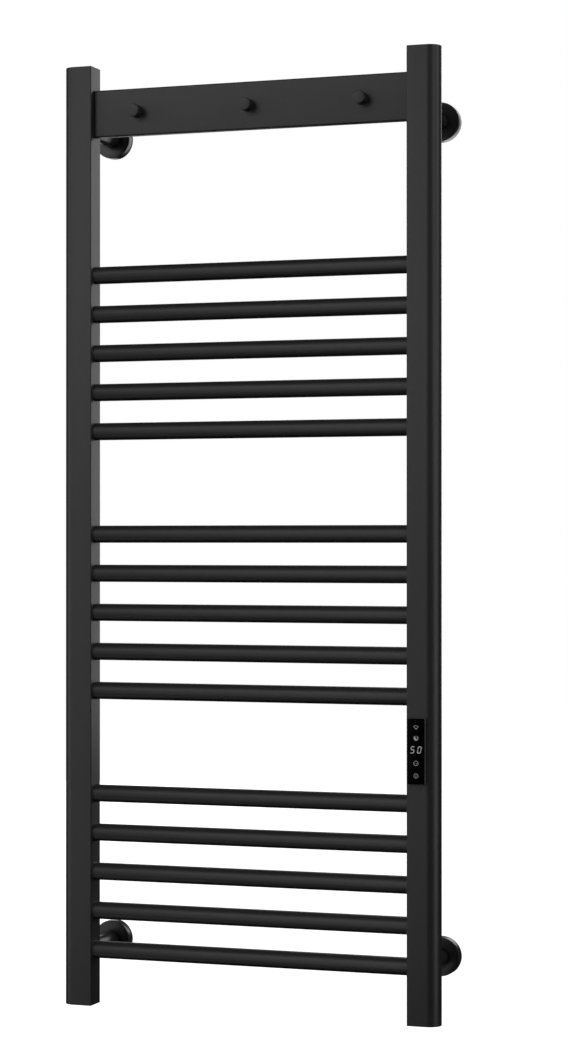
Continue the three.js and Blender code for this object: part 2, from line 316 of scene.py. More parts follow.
def solderMask():
    made = Finish("solderMask", (0.015, 0.11, 0.05), 0.32)
    made.tint(made.noise(180, 5), (0.010, 0.085, 0.038), (0.025, 0.15, 0.07))
    made.vary("Roughness", made.noise(600, 2), 0.25, 0.42)
    return made.material


def displayBody():
    made = Finish("displayBody", (0.05, 0.05, 0.055), 0.35)
    made.tint(made.noise(90, 2), (0.042, 0.042, 0.047), (0.058, 0.058, 0.062))
    made.bump(made.noise(1100, 2), 0.15, 0.00002)
    return made.material


def nylonWhite():
    made = Finish("nylonWhite", (0.76, 0.74, 0.68), 0.48)
    made.tint(made.noise(80, 2), (0.71, 0.69, 0.63), (0.80, 0.78, 0.72))
    made.bump(made.noise(1300, 2), 0.2, 0.00003)
    return made.material


def drawnSteel():
    made = Finish("drawnSteel", (0.55, 0.55, 0.56), 0.3, 1.0)
    made.vary("Roughness", made.noise(400, 3, (1, 1, 0.05)), 0.22, 0.4)
    made.bump(made.noise(900, 2, (1, 1, 0.04)), 0.15, 0.00002)
    return made.material


finishes = {
    "powder_coat": powderCoat("powderCoat", 0.38, 0.48),
    "cap_plastic": mouldedPlastic(),
    "control_glass": panelGlass(),
    "zinc_steel": zincPlate(),
    "sensor_steel": drawnSteel(),
    "rubber_black": blackRubber(),
    "silicone_red": siliconeJacket(),
    "circuit_board": solderMask(),
    "display_grey": displayBody(),
    "terminal_white": nylonWhite(),
}
fittingFinish = powderCoat("fittingCoat", 0.27, 0.34)    # the small fittings are coated smoother
# pale grey for the glass rim, a painted highlight on its side
rimHighlightFinish = paintedRimHighlight()
signFinish = signPrint()
digitFinish = digitGlow()
bezelFinish = bezelPlastic()
print("finishes mixed")

# Mesh helpers.


def vertsOf(made):
    return [item for item in made if isinstance(item, bmesh.types.BMVert)]


def roundEdges(bm, offset, segments=3):
    limit = math.radians(sharpAngle)
    edges = [e for e in bm.edges if len(e.link_faces) == 2 and e.calc_face_angle() > limit]
    bmesh.ops.bevel(bm, geom=edges, offset=offset, offset_type="OFFSET", segments=segments,
                    profile=0.5, affect="EDGES", clamp_overlap=True, material=-1)


# Closed outline in the XY plane. Radii run anticlockwise from the corner at high x, low y.
def roundedOutline(bm, low, high, radii, steps=10):
    corners = ((high[0], low[1]), high, (low[0], high[1]), low)
    insides = ((-1, 1), (-1, -1), (1, -1), (1, 1))
    ends = []
    for index, (corner, inside, radius) in enumerate(zip(corners, insides, radii)):
        angle = math.radians(90 * index - 90)
        centre = Vector((corner[0] + inside[0] * radius, corner[1] + inside[1] * radius, 0))
        start = bm.verts.new(centre + radius * Vector((math.cos(angle), math.sin(angle), 0)))
        swept = bmesh.ops.spin(bm, geom=[start], cent=centre, axis=(0, 0, 1), angle=math.pi / 2, steps=steps,
                               use_merge=False, use_duplicate=False)
        ends.append((start, vertsOf(swept["geom_last"])[0]))
    for index in range(4):
        bm.edges.new((ends[index - 1][1], ends[index][0]))


def outlineFace(bm, low, high, radii, steps=10):
    roundedOutline(bm, low, high, radii, steps)
    bmesh.ops.remove_doubles(bm, verts=bm.verts[:], dist=mergeDistance)
    return bmesh.ops.contextual_create(bm, geom=bm.edges[:])["faces"]


def raiseFaces(bm, faces, height):
    pushed = bmesh.ops.extrude_face_region(bm, geom=faces)
    bmesh.ops.translate(bm, verts=vertsOf(pushed["geom"]), vec=(0, 0, height))
    bmesh.ops.recalc_face_normals(bm, faces=bm.faces[:])


# Straight tube along Z with a rounded section.
def sectionTube(low, high, radii, wall, length, steps=10):
    bm = bmesh.new()
    innerRadii = [max(radius - wall, 0.2 * mm) for radius in radii]
    innerLow = (low[0] + wall, low[1] + wall)
    innerHigh = (high[0] - wall, high[1] - wall)
    roundedOutline(bm, low, high, radii, steps)
    roundedOutline(bm, innerLow, innerHigh, innerRadii, steps)
    bmesh.ops.remove_doubles(bm, verts=bm.verts[:], dist=mergeDistance)
    ring = bmesh.ops.bridge_loops(bm, edges=bm.edges[:])["faces"]
    raiseFaces(bm, ring, length)
    return bm


# Plate along Z with a rounded outline.
def sectionPlate(low, high, radii, height, steps=10):
    bm = bmesh.new()
    raiseFaces(bm, outlineFace(bm, low, high, radii, steps), height)
    return bm


# Solid of revolution about an axis through the origin, from (radius, along) points.
def turned(profile, axis="Y", steps=64, closed=True):
    bm = bmesh.new()
    ring = [bm.verts.new((radius, along, 0)) for radius, along in profile]
    pairs = list(zip(ring, ring[1:] + ring[:1])) if closed else list(zip(ring, ring[1:]))
    edges = [bm.edges.new(pair) for pair in pairs]
    bmesh.ops.spin(bm, geom=ring + edges, cent=(0, 0, 0), axis=(0, 1, 0), angle=2 * math.pi, steps=steps,
                   use_merge=True, use_duplicate=False)
    bmesh.ops.remove_doubles(bm, verts=bm.verts[:], dist=mergeDistance)
    bmesh.ops.recalc_face_normals(bm, faces=bm.faces[:])
    turns = {"X": Matrix.Rotation(-math.pi / 2, 4, "Z"), "Y": Matrix(),
             "Z": Matrix.Rotation(math.pi / 2, 4, "X")}
    bmesh.ops.transform(bm, matrix=turns[axis], verts=bm.verts[:])
    return bm


# Solid round bar, mostly used to cut a hole.
def plug(radius, start, end, axis="Y", steps=32):
    return turned([(0, start), (radius, start), (radius, end), (0, end)], axis, steps, False)


def quarterAngles(steps):
    return [step / steps * math.pi / 2 for step in range(steps + 1)]


def moved(bm, x=0.0, y=0.0, z=0.0):
    bmesh.ops.translate(bm, verts=bm.verts[:], vec=(x, y, z))
    return bm


def quarterTurned(bm, axis):
    turn = Matrix.Rotation(math.pi / 2, 3, axis)
    bmesh.ops.rotate(bm, verts=bm.verts[:], cent=(0, 0, 0), matrix=turn)
    return bm


def mirrored(bm, x=1, z=1):
    bmesh.ops.scale(bm, verts=bm.verts[:], vec=(x, 1, z))
    bmesh.ops.reverse_faces(bm, faces=bm.faces[:])
    return bm


def joined(*parts):
    whole = bmesh.new()
    for part in parts:
        mesh = bpy.data.meshes.new("part")
        part.to_mesh(mesh)
        part.free()
        whole.from_mesh(mesh)
        bpy.data.meshes.remove(mesh)
    return whole


def objectFrom(name, bm):
    mesh = bpy.data.meshes.new(name)
    bm.to_mesh(mesh)
    bm.free()
    piece = bpy.data.objects.new(name, mesh)
    bpy.context.scene.collection.objects.link(piece)
    return piece


# Cuts the tools out of the piece, or joins them to it, and keeps the result as its mesh.
def combine(piece, tools, operation="DIFFERENCE"):
    for tool in tools:
        modifier = piece.modifiers.new("combine", "BOOLEAN")
        modifier.operation = operation
        modifier.solver = "EXACT"
        modifier.object = objectFrom("tool", tool)
    bpy.context.view_layer.update()
    evaluated = piece.evaluated_get(bpy.context.evaluated_depsgraph_get())
    result = bpy.data.meshes.new_from_object(evaluated)
    used = [modifier.object for modifier in piece.modifiers]
    piece.modifiers.clear()
    piece.data = result
    result.name = piece.name
    for tool in used:
        bpy.data.objects.remove(tool)
    return piece


def paint(piece, material, smooth):
    piece.data.materials.clear()
    piece.data.materials.append(material)
    piece.data.shade_smooth()
    piece.data.set_sharp_from_angle(angle=math.radians(smooth))


# Paints a piece and puts it in place of its CAD node.
def finishPiece(piece, node, slot, smooth=32, material=None):
    paint(piece, material or finishes[slot], smooth)
    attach(piece, nodes[node]["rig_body"])
    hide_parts(node)
    return piece


def size(node):
    low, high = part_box(node)
    return low, high, (low + high) / 2


# Uprights.

belowRailMiddle = 15 * mm    # how far under the pegs the heating cable runs through the rail

upright = {"wall": 1.5 * mm, "innerEdge": 1.0 * mm, "rim": 0.35 * mm, "arcSteps": 28,
           "cableBore": 8 * mm, "railBore": 3.5 * mm, "studBore": 4.3 * mm,
           "windowRoom": (2.2 * mm, 2.3 * mm), "windowCorner": 0.8 * mm}


def buildUpright(side):
    node = f"{side}_upright"
    low, high, centre = size(node)
    width, half = high.x - low.x, (high.y - low.y) / 2
    outward = 1 if side == "right" else -1
    faceX = low.x if outward > 0 else high.x
    radii = (half, half, upright["innerEdge"], upright["innerEdge"])
    bm = sectionTube((0, -half), (width, half), radii, upright["wall"], high.z - low.z, upright["arcSteps"])
    roundEdges(bm, upright["rim"], 2)
    if outward < 0:
        mirrored(bm, x=-1)
    piece = objectFrom(node + "_shell", moved(bm, faceX, centre.y, low.z))

    tools = []
    reach = 4 * upright["wall"]
    for index in range(rungCount):
        rung = size(f"rung_{index + 1:02d}")[2]
        tools.append(moved(plug(upright["cableBore"], -reach, reach, "X"), faceX, centre.y, rung.z))
    rail = size("top_rail")[2]
    railHole = plug(upright["railBore"], -reach, reach, "X", 24)
    tools.append(moved(railHole, faceX, rail.y, rail.z - belowRailMiddle))
    for level in ("lower", "upper"):
        stud = size(f"stem_stud_{level}_{side}")[2]
        tools.append(moved(plug(upright["studBore"], 0, 2 * half), stud.x, centre.y, stud.z))
    if outward > 0:
        tools.append(controlWindow(centre.y, half))
    return finishPiece(combine(piece, [joined(*tools)]), node, "powder_coat")


# The control's tray goes through this window, with a little room round it.
def controlWindow(middleY, half):
    low, high, centre = size("control_board")
    roomX, roomZ = upright["windowRoom"]
    bm = sectionPlate((low.x - roomX, low.z - roomZ), (high.x + roomX, high.z + roomZ),
                      [upright["windowCorner"]] * 4, half)
    return moved(quarterTurned(bm, "X"), 0, middleY, 0)


for side in sides:
    buildUpright(side)
print("uprights built")

# Rungs.

rung = {"wall": 1.2 * mm, "steps": 96, "weld": 0.5 * mm, "weldSteps": 3}


# A tube that swells a little at each end, where its weld meets the upright.
def buildRung(index):
    node = f"rung_{index + 1:02d}"
    low, high, centre = size(node)
    outer, half = (high.z - low.z) / 2, (high.x - low.x) / 2
    inner, weld = outer - rung["wall"], rung["weld"]
    flare = []
    for angle in quarterAngles(rung["weldSteps"]):
        flare.append((outer + weld - weld * math.sin(angle), half - weld + weld * math.cos(angle)))
    profile = [(radius, -along) for radius, along in flare] + list(reversed(flare))
    profile += [(inner, half), (inner, -half)]
    tube = turned(profile, "X", rung["steps"])
    piece = objectFrom(node + "_tube", moved(tube, 0, centre.y, centre.z))
    return finishPiece(piece, node, "powder_coat")


for index in range(rungCount):
    buildRung(index)
print("rungs built")

# Top rail and pegs.

rail = {"wall": 1.2 * mm, "corner": 2.2 * mm, "steps": 8, "studBore": 2.8 * mm}
peg = {"edge": 0.7 * mm, "edgeSteps": 4, "backEdge": 0.2 * mm, "steps": 72, "bore": 2.65 * mm,
       "boreDepth": 9.3 * mm}


def buildRail():
    low, high, centre = size("top_rail")
    halfTall, halfDeep, length = (high.z - low.z) / 2, (high.y - low.y) / 2, high.x - low.x
    bm = sectionTube((-halfTall, -halfDeep), (halfTall, halfDeep), [rail["corner"]] * 4, rail["wall"], length,
                     rail["steps"])
    quarterTurned(bm, "Y")
    piece = objectFrom("top_rail_tube", moved(bm, low.x, centre.y, centre.z))
    tools = []
    for place in pegPlaces:
        hole = plug(rail["studBore"], -halfDeep, 0)
        tools.append(moved(hole, size(f"peg_{place}")[2].x, low.y + halfDeep / 2, centre.z))
    return finishPiece(combine(piece, [joined(*tools)]), "top_rail", "powder_coat")


def buildPeg(place):
    low, high, centre = size(f"peg_{place}")
    radius, length, edge = (high.x - low.x) / 2, high.y - low.y, peg["edge"]
    profile = [(0, -length)]
    for angle in quarterAngles(peg["edgeSteps"]):
        profile.append((radius - edge + edge * math.sin(angle), edge - length - edge * math.cos(angle)))
    profile += [(radius, -peg["backEdge"]), (radius - peg["backEdge"], 0), (peg["bore"], 0),
                (peg["bore"], -peg["boreDepth"]), (0, -peg["boreDepth"])]
    bm = turned(profile, "Y", peg["steps"], False)
    piece = objectFrom(f"peg_{place}_turned", moved(bm, centre.x, high.y, centre.z))
    return finishPiece(piece, f"peg_{place}", "powder_coat")


buildRail()
for place in pegPlaces:
    buildPeg(place)
print("rail and pegs built")

# End caps and the supply bush.

cap = {"plate": 3 * mm, "skirtWall": 1.5 * mm, "edge": 0.45 * mm, "innerEdge": 0.7 * mm, "arcSteps": 20,
       "overlap": 0.4 * mm, "bushHole": 6 * mm, "bushSink": 7.8 * mm, "sinkDepth": 1.8 * mm,
       "overshoot": 1 * mm}
bush = {"bore": 3.5 * mm, "lip": 7.5 * mm, "lipDepth": 1.5 * mm, "neck": 5.7 * mm, "edge": 0.45 * mm}


# A plate with a skirt that plugs into the upright. The lower right one is pierced for the supply bush.
def buildCap(end, side):
    node = f"cap_{end}_{side}"
    low, high, centre = size(node)
    width, half, tall = high.x - low.x, (high.y - low.y) / 2, high.z - low.z
    radii = (half, half, cap["innerEdge"], cap["innerEdge"])
    plate = sectionPlate((0, -half), (width, half), radii, cap["plate"], cap["arcSteps"])
    roundEdges(plate, cap["edge"], 3)
    skirtLength = tall - cap["plate"] + cap["overlap"] + cap["edge"]
    skirt = sectionTube((0, -half), (width, half), radii, cap["skirtWall"], skirtLength, cap["arcSteps"])
    moved(skirt, 0, 0, tall - skirtLength)
    for part in (plate, skirt):
        if end == "top":
            mirrored(part, z=-1)
        if side == "left":
            mirrored(part, x=-1)
        moved(part, low.x if side == "right" else high.x, centre.y, high.z if end == "top" else low.z)
    piece = combine(objectFrom(node + "_moulding", plate), [skirt], "UNION")
    if end == "bottom" and side == "right":
        middle = size("supply_grommet")[2]
        hole = plug(cap["bushHole"], -cap["overshoot"], tall, "Z", 48)
        sink = plug(cap["bushSink"], -cap["overshoot"], cap["sinkDepth"], "Z", 48)
        combine(piece, [moved(part, middle.x, middle.y, low.z) for part in (hole, sink)])
    return finishPiece(piece, node, "cap_plastic")


def buildBush():
    low, high, centre = size("supply_grommet")
    top = high.z - low.z
    bm = turned([(bush["bore"], 0), (bush["lip"], 0), (bush["lip"], bush["lipDepth"]),
                 (bush["neck"], bush["lipDepth"]), (bush["neck"], top), (bush["bore"], top)], "Z", 64)
    roundEdges(bm, bush["edge"], 4)
    piece = objectFrom("supply_grommet_bush", moved(bm, centre.x, centre.y, low.z))
    return finishPiece(piece, "supply_grommet", "rubber_black")


for side in sides:
    for end in ("bottom", "top"):
        buildCap(end, side)
buildBush()
print("end caps and bush built")

# Wall fixings.

stem = {"radius": 10 * mm, "studDepth": 14 * mm, "studBore": 4.3 * mm, "spigotBore": 6.3 * mm,
        "reach": 38 * mm, "edge": 0.4 * mm, "grubHole": 2.8 * mm, "grubFromWall": 24 * mm, "steps": 72}
flange = {"spigot": 6 * mm, "radius": 20 * mm, "depth": 4 * mm, "screwHole": 2.7 * mm, "headHole": 4.3 * mm,
          "seat": 12 * mm, "sink": 1.5 * mm, "edge": 0.35 * mm, "groove": 0.35 * mm, "steps": 64}
rosette = {"wall": 1.5 * mm, "edge": 0.45 * mm, "fineEdge": 0.2 * mm, "bore": 10.3 * mm, "collar": 12 * mm,
           "collarBack": 5 * mm, "edgeSteps": 5, "steps": 96}
grub = {"radius": 2.5 * mm, "hex": 1.25 * mm, "hexDepth": 2.0 * mm, "edge": 0.3 * mm}
thread = {"pitch": 1.25 * mm, "depth": 0.5 * mm}


# A turned bar with a stud hole in front, and behind it a bore for the spigot with the grub screw's hole.
def buildStem(place):
    node = f"stem_{place}"
    low, high, centre = size(node)
    back, front = high.y, low.y
    spigotEnd = back - stem["reach"]
    bm = turned([(0, front + stem["studDepth"]), (stem["studBore"], front + stem["studDepth"]),
                 (stem["studBore"], front), (stem["radius"], front), (stem["radius"], back),
                 (stem["spigotBore"], back), (stem["spigotBore"], spigotEnd), (0, spigotEnd)],
                "Y", stem["steps"], False)
    roundEdges(bm, stem["edge"], 3)
    piece = objectFrom(node + "_turned", moved(bm, centre.x, 0, centre.z))
    hole = plug(stem["grubHole"], -2 * stem["radius"], 0, "Z")
    combine(piece, [moved(hole, centre.x, -stem["grubFromWall"], centre.z)])
    return finishPiece(piece, node, "powder_coat", material=fittingFinish)


# A thin cup with a collar inside that runs on the stem.
def buildRosette(place):
    node = f"rosette_{place}"
    low, high, centre = size(node)
    radius, front, back = (high.x - low.x) / 2, low.y, high.y
    edge, wall = rosette["edge"], rosette["wall"]
    profile = [(rosette["bore"], front)]
    for angle in quarterAngles(rosette["edgeSteps"]):
        profile.append((radius - edge + edge * math.sin(angle), front + edge - edge * math.cos(angle)))
    profile += [(radius, back), (radius - wall, back), (radius - wall, front + wall),
                (rosette["collar"], front + wall), (rosette["collar"], back - rosette["collarBack"]),
                (rosette["bore"], back - rosette["collarBack"])]
    bm = turned(profile, "Y", rosette["steps"])
    roundEdges(bm, rosette["fineEdge"], 2)
    piece = objectFrom(node + "_spun", moved(bm, centre.x, 0, centre.z))
    return finishPiece(piece, node, "powder_coat", material=fittingFinish)


# A flange with its spigot, counterbored for the screw head and countersunk below it.
def buildFlange(place):
    node = f"wall_flange_{place}"
    low, high, centre = size(node)
    front, seat = low.y, -flange["seat"]
    groove = -stem["grubFromWall"]
    half = grub["radius"]
    profile = [(flange["spigot"], front), (flange["spigot"], groove - half),
               (flange["spigot"] - flange["groove"], groove), (flange["spigot"], groove + half),
               (flange["spigot"], -flange["depth"]), (flange["radius"], -flange["depth"]),
               (flange["radius"], 0), (flange["screwHole"], 0), (flange["screwHole"], seat + flange["sink"]),
               (flange["headHole"], seat), (flange["headHole"], front)]
    bm = turned(profile, "Y", flange["steps"])
    roundEdges(bm, flange["edge"], 2)
    return finishPiece(objectFrom(node + "_turned", moved(bm, centre.x, 0, centre.z)), node, "zinc_steel")


def buildGrub(place):
    node = f"grub_screw_{place}"
    low, high, centre = size(node)
    half = (high.z - low.z) / 2
    bm = plug(grub["radius"], -half, half, "Z", 48)
    roundEdges(bm, grub["edge"], 2)
    piece = objectFrom(node + "_screw", moved(bm, centre.x, centre.y, centre.z))
    hexagon = bmesh.new()
    bmesh.ops.create_cone(hexagon, cap_ends=True, segments=6, radius1=grub["hex"], radius2=grub["hex"],
                          depth=2 * grub["hexDepth"])
    combine(piece, [moved(hexagon, centre.x, centre.y, low.z)])
    return finishPiece(piece, node, "zinc_steel")


# A stud whose thread is a row of V grooves.
def buildStud(node):
    low, high, centre = size(node)
    radius, length = (high.x - low.x) / 2, high.y - low.y
    turns = int(length / thread["pitch"]) - 1
    margin = (length - turns * thread["pitch"]) / 2
    profile = [(0, 0), (radius - thread["depth"], 0), (radius, margin)]
    for turn in range(turns):
        along = margin + turn * thread["pitch"]
        profile.append((radius - thread["depth"], along + thread["pitch"] / 2))
        profile.append((radius, along + thread["pitch"]))
    profile += [(radius - thread["depth"], length), (0, length)]
    bm = turned(profile, "Y", 32, False)
    return finishPiece(objectFrom(node + "_thread", moved(bm, centre.x, low.y, centre.z)), node, "zinc_steel")


for side in sides:
    for level in ("lower", "upper"):
        place = f"{level}_{side}"
        buildStem(place)
        buildRosette(place)
        buildFlange(place)
        buildGrub(place)
        buildStud(f"stem_stud_{place}")
for place in pegPlaces:
    buildStud(f"peg_stud_{place}")
print("wall fixings built")

# Touch control.

housing = {"corner": 1.0 * mm, "edge": 0.3 * mm, "flange": 3.4 * mm, "tray": (19.4 * mm, 76 * mm),
           "wall": 1.4 * mm, "trayCorner": 0.8 * mm}
glass = {"corner": 1.0 * mm, "edge": 0.25 * mm, "rimTilt": 0.5}
# The parts of a sign are multiples of its stroke or its outer radius. Angles are in degrees.
signs = {"thickness": 0.05 * mm, "sink": 0.01 * mm, "stroke": 0.52 * mm, "ringOuter": 3.0 * mm,
         "steps": 40, "leastSteps": 8, "barCorner": 0.3}
network = {"reach": 5.0 * mm, "halfAngle": 42, "apex": 0.55, "side": 0.8, "innerArc": (0.26, 0.37)}
heat = {"ring": 1.5, "ringArc": (110, 320), "fill": 1.8, "fillArc": (130, 190), "core": 0.01 * mm}
timer = {"crown": 1.5, "hand": 1.2, "handReach": 0.42}
power = {"arc": (-55, 290), "bar": 1.4, "barTop": 0.3}
digits = {"width": 4.0 * mm, "height": 7.6 * mm, "stroke": 0.86 * mm, "gap": 0.1 * mm, "slant": 0.17,
          "flatInset": 0.35, "centres": (-4.3 * mm, 4.3 * mm), "text": "50"}
segmentsOf = {"5": "afgcd", "0": "abcdef"}


# Turns a flat shape drawn in x and y to face the room, with its back at the given y.
def facing(bm, x, y, z):
    return moved(quarterTurned(bm, "X"), x, y, z)


def centredPlate(width, height, corner, thickness, steps=6):
    return sectionPlate((-width / 2, -height / 2), (width / 2, height / 2), [corner] * 4, thickness, steps)


# A bezel in front of the upright, with an open tray behind it.
def buildHousing():
    node = "control_housing"
    low, high, centre = size(node)
    width, tall = high.x - low.x, high.z - low.z
    trayWidth, trayTall = housing["tray"]
    wall = housing["wall"]
    frontOfUpright = low.y + housing["flange"]
    depth = high.y - frontOfUpright
    bezel = centredPlate(width, tall, housing["corner"], housing["flange"])
    roundEdges(bezel, housing["edge"], 3)
    tray = centredPlate(trayWidth, trayTall, housing["trayCorner"], depth + housing["flange"] / 2)
    hollow = centredPlate(trayWidth - 2 * wall, trayTall - 2 * wall, housing["trayCorner"] / 2,
                          2 * (depth + housing["flange"]))
    piece = objectFrom(node + "_tray", facing(bezel, centre.x, frontOfUpright, centre.z))
    combine(piece, [facing(tray, centre.x, high.y, centre.z)], "UNION")
    combine(piece, [facing(hollow, centre.x, high.y - wall, centre.z)])
    return finishPiece(piece, node, "cap_plastic", material=bezelFinish)


def buildGlass():
    low, high, centre = size("control_glass")
    bm = centredPlate(high.x - low.x, high.z - low.z, glass["corner"], high.y - low.y)
    roundEdges(bm, glass["edge"], 3)
    piece = objectFrom("control_glass_sheet", facing(bm, centre.x, high.y, centre.z))
    finishPiece(piece, "control_glass", "control_glass")
    # The rim takes the pale grey that paints its highlight.
    piece.data.materials.append(rimHighlightFinish)
    for face in piece.data.polygons:
        if abs(face.normal.y) < glass["rimTilt"]:    # the rim with the painted highlight
            face.material_index = 1
    return piece


# Part of a flat ring about (x, y), from one angle through a sweep, in degrees.
def arcBand(inner, outer, start=0, sweep=360, x=0.0, y=0.0):
    bm = bmesh.new()
    angle = math.radians(start)
    reach = Vector((math.cos(angle), math.sin(angle), 0))
    ends = [bm.verts.new(reach * inner), bm.verts.new(reach * outer)]
    edge = bm.edges.new(ends)
    steps = max(signs["leastSteps"], int(signs["steps"] * sweep / 360))
    bmesh.ops.spin(bm, geom=ends + [edge], cent=(0, 0, 0), axis=(0, 0, 1), angle=math.radians(sweep),
                   steps=steps, use_merge=sweep == 360, use_duplicate=False)
    bmesh.ops.remove_doubles(bm, verts=bm.verts[:], dist=mergeDistance / 10)
    raiseFaces(bm, bm.faces[:], signs["thickness"])
    return moved(bm, x, y, 0)


def bar(start, end, width):
    bm = bmesh.new()
    along = Vector((end[0] - start[0], end[1] - start[1], 0))
    corner = width * signs["barCorner"]
    raiseFaces(bm, outlineFace(bm, (0, -width / 2), (along.length, width / 2), [corner] * 4, 3),
               signs["thickness"])
    turn = Matrix.Rotation(math.atan2(along.y, along.x), 3, "Z")
    bmesh.ops.rotate(bm, verts=bm.verts[:], cent=(0, 0, 0), matrix=turn)
    return moved(bm, start[0], start[1], 0)


def networkSign():
    reach, half, stroke = network["reach"], network["halfAngle"], signs["stroke"]
    apex = -network["apex"] * reach
    end = reach - stroke / 2
    sideX, sideY = end * math.sin(math.radians(half)), apex + end * math.cos(math.radians(half))
    start, sweep = 90 - half, 2 * half
    inner, outer = (part * reach for part in network["innerArc"])
    return [arcBand(reach - stroke, reach, start, sweep, 0, apex),
            bar((0, apex), (sideX, sideY), stroke * network["side"]),
            bar((0, apex), (-sideX, sideY), stroke * network["side"]),
            arcBand(inner, outer, start, sweep, 0, apex)]


def heatSign():
    outer, stroke = signs["ringOuter"], signs["stroke"]
    return [arcBand(outer - heat["ring"] * stroke, outer, *heat["ringArc"]),
            arcBand(heat["core"], outer - heat["fill"] * stroke, *heat["fillArc"])]


def timerSign():
    outer, stroke = signs["ringOuter"], signs["stroke"]
    tip = timer["handReach"] * outer
    return [arcBand(outer - stroke, outer), bar((0, outer), (0, outer + stroke), timer["crown"] * stroke),
            bar((0, 0), (tip, -tip), timer["hand"] * stroke)]


def powerSign():
    outer, stroke = signs["ringOuter"], signs["stroke"]
    return [arcBand(outer - stroke, outer, *power["arc"]),
            bar((0, power["barTop"] * outer), (0, -outer - stroke / 2), power["bar"] * stroke)]


# One figure from the segments that it lights, leaning a little to the right.
def digit(letter, x):
    half, tall = digits["width"] / 2, digits["height"] / 2
    stroke, gap = digits["stroke"], digits["gap"]
    posts = {"a": ((-half, tall), (half, tall)), "g": ((-half, 0), (half, 0)),
             "d": ((-half, -tall), (half, -tall)), "f": ((-half, tall), (-half, 0)),
             "b": ((half, tall), (half, 0)), "e": ((-half, 0), (-half, -tall)),
             "c": ((half, 0), (half, -tall))}
    parts = []
    for name in segmentsOf[letter]:
        start, end = Vector(posts[name][0]), Vector(posts[name][1])
        inset = (end - start).normalized() * (stroke / 2 + gap)
        inset *= 1 if name in "bcef" else digits["flatInset"]
        parts.append(bar(start + inset, end - inset, stroke))
    whole = joined(*parts)
    shear = Matrix.Identity(4)
    shear[0][1] = digits["slant"]
    bmesh.ops.transform(whole, matrix=shear, verts=whole.verts[:])
    return moved(whole, x, 0, 0)


def digitParts():
    return [digit(letter, x) for letter, x in zip(digits["text"], digits["centres"])]


# Each sign and how far its middle is above the middle of the glass.
signPlaces = (
    ("network_sign", networkSign, 29.5), ("heat_sign", heatSign, 16.2), ("digits_50", digitParts, 2.0),
    ("timer_sign", timerSign, -14.5), ("power_sign", powerSign, -29.9),
)


def buildSigns():
    low, high, centre = size("control_glass")
    for name, draw, height in signPlaces:
        sign = joined(*draw())
        piece = objectFrom(name, facing(sign, centre.x, low.y + signs["sink"], centre.z + height * mm))
        piece.data.materials.append(digitFinish if draw is digitParts else signFinish)
        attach(piece, "rack")


buildHousing()
buildGlass()
buildSigns()
print("touch control built")

# Inside the control.

board = {"corner": 1.2 * mm, "edge": 0.15 * mm, "holeRadius": 1.1 * mm, "holeInset": 2.4 * mm}
chips = {    # where each stands on the board, across and up, then its width, height and thickness
    "relay": ((0, -22.2), (12, 8.6, 6.4)),
    "processor": ((0.4, -9.0), (5.6, 4.4, 1.1)),
    "driver": ((0, 10.4), (6.4, 3.6, 1.3)),
    "fuse": ((-4.6, 22.6), (3.2, 6.4, 3.4)),
}
chipShape = {"corner": 0.4 * mm, "edge": 0.2 * mm}
capacitor = {"at": (3.4, 22.6), "radius": 2.6, "length": 7.4, "rim": 0.35, "crimp": (0.12, 0.16, 0.2),
             "top": (0.7, 0.66)}
touchSpring = {"radius": 2.0 * mm, "wire": 0.22 * mm, "turns": 5, "stepsPerTurn": 18, "wireSides": 8,
               "heights": (29.2, 16.2, -14.3, -29.9)}
display = {"edge": 0.3 * mm, "fineEdge": 0.15 * mm, "frame": 0.8 * mm, "recess": 0.4 * mm}


def buildBoard():
    node = "control_board"
    low, high, centre = size(node)
    width, tall = high.x - low.x, high.z - low.z
    plate = centredPlate(width, tall, board["corner"], high.y - low.y)
    roundEdges(plate, board["edge"], 2)
    piece = objectFrom(node + "_plate", facing(plate, centre.x, high.y, centre.z))
    holes = []
    for across in (-1, 1):
        for upward in (-1, 1):
            bore = board["holeRadius"]
            hole = plug(bore, -bore * 2, bore * 2, "Y", 24)
            holes.append(moved(hole, centre.x + across * (width / 2 - board["holeInset"]), centre.y,
                               centre.z + upward * (tall / 2 - board["holeInset"])))
    return finishPiece(combine(piece, holes), node, "circuit_board")


# A piece that stands for no CAD node of its own.
def looseDetail(name, bm, slot, smooth=32):
    piece = objectFrom(name, bm)
    paint(piece, finishes[slot], smooth)
    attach(piece, "rack")
    return piece


def buildChips():
    low, high, centre = size("control_board")
    parts = []
    for (across, upward), (width, tall, thickness) in chips.values():
        chip = centredPlate(width * mm, tall * mm, chipShape["corner"], thickness * mm, 3)
        roundEdges(chip, chipShape["edge"], 2)
        parts.append(facing(chip, centre.x + across * mm, low.y, centre.z + upward * mm))
    radius, length, rim = (capacitor[key] * mm for key in ("radius", "length", "rim"))
    crimpStart, crimpMiddle, crimpEnd = (part * length for part in capacitor["crimp"])
    topEdge, topDish = (part * radius for part in capacitor["top"])
    can = turned([(0, 0), (radius, 0), (radius, -crimpStart), (radius - rim, -crimpMiddle),
                  (radius, -crimpEnd), (radius, rim - length), (radius - rim, -length), (topEdge, -length),
                  (topDish, rim / 2 - length), (0, rim / 2 - length)], "Y", 40, False)
    across, upward = capacitor["at"]
    parts.append(moved(can, centre.x + across * mm, low.y, centre.z + upward * mm))
    looseDetail("control_board_chips", joined(*parts), "display_grey")


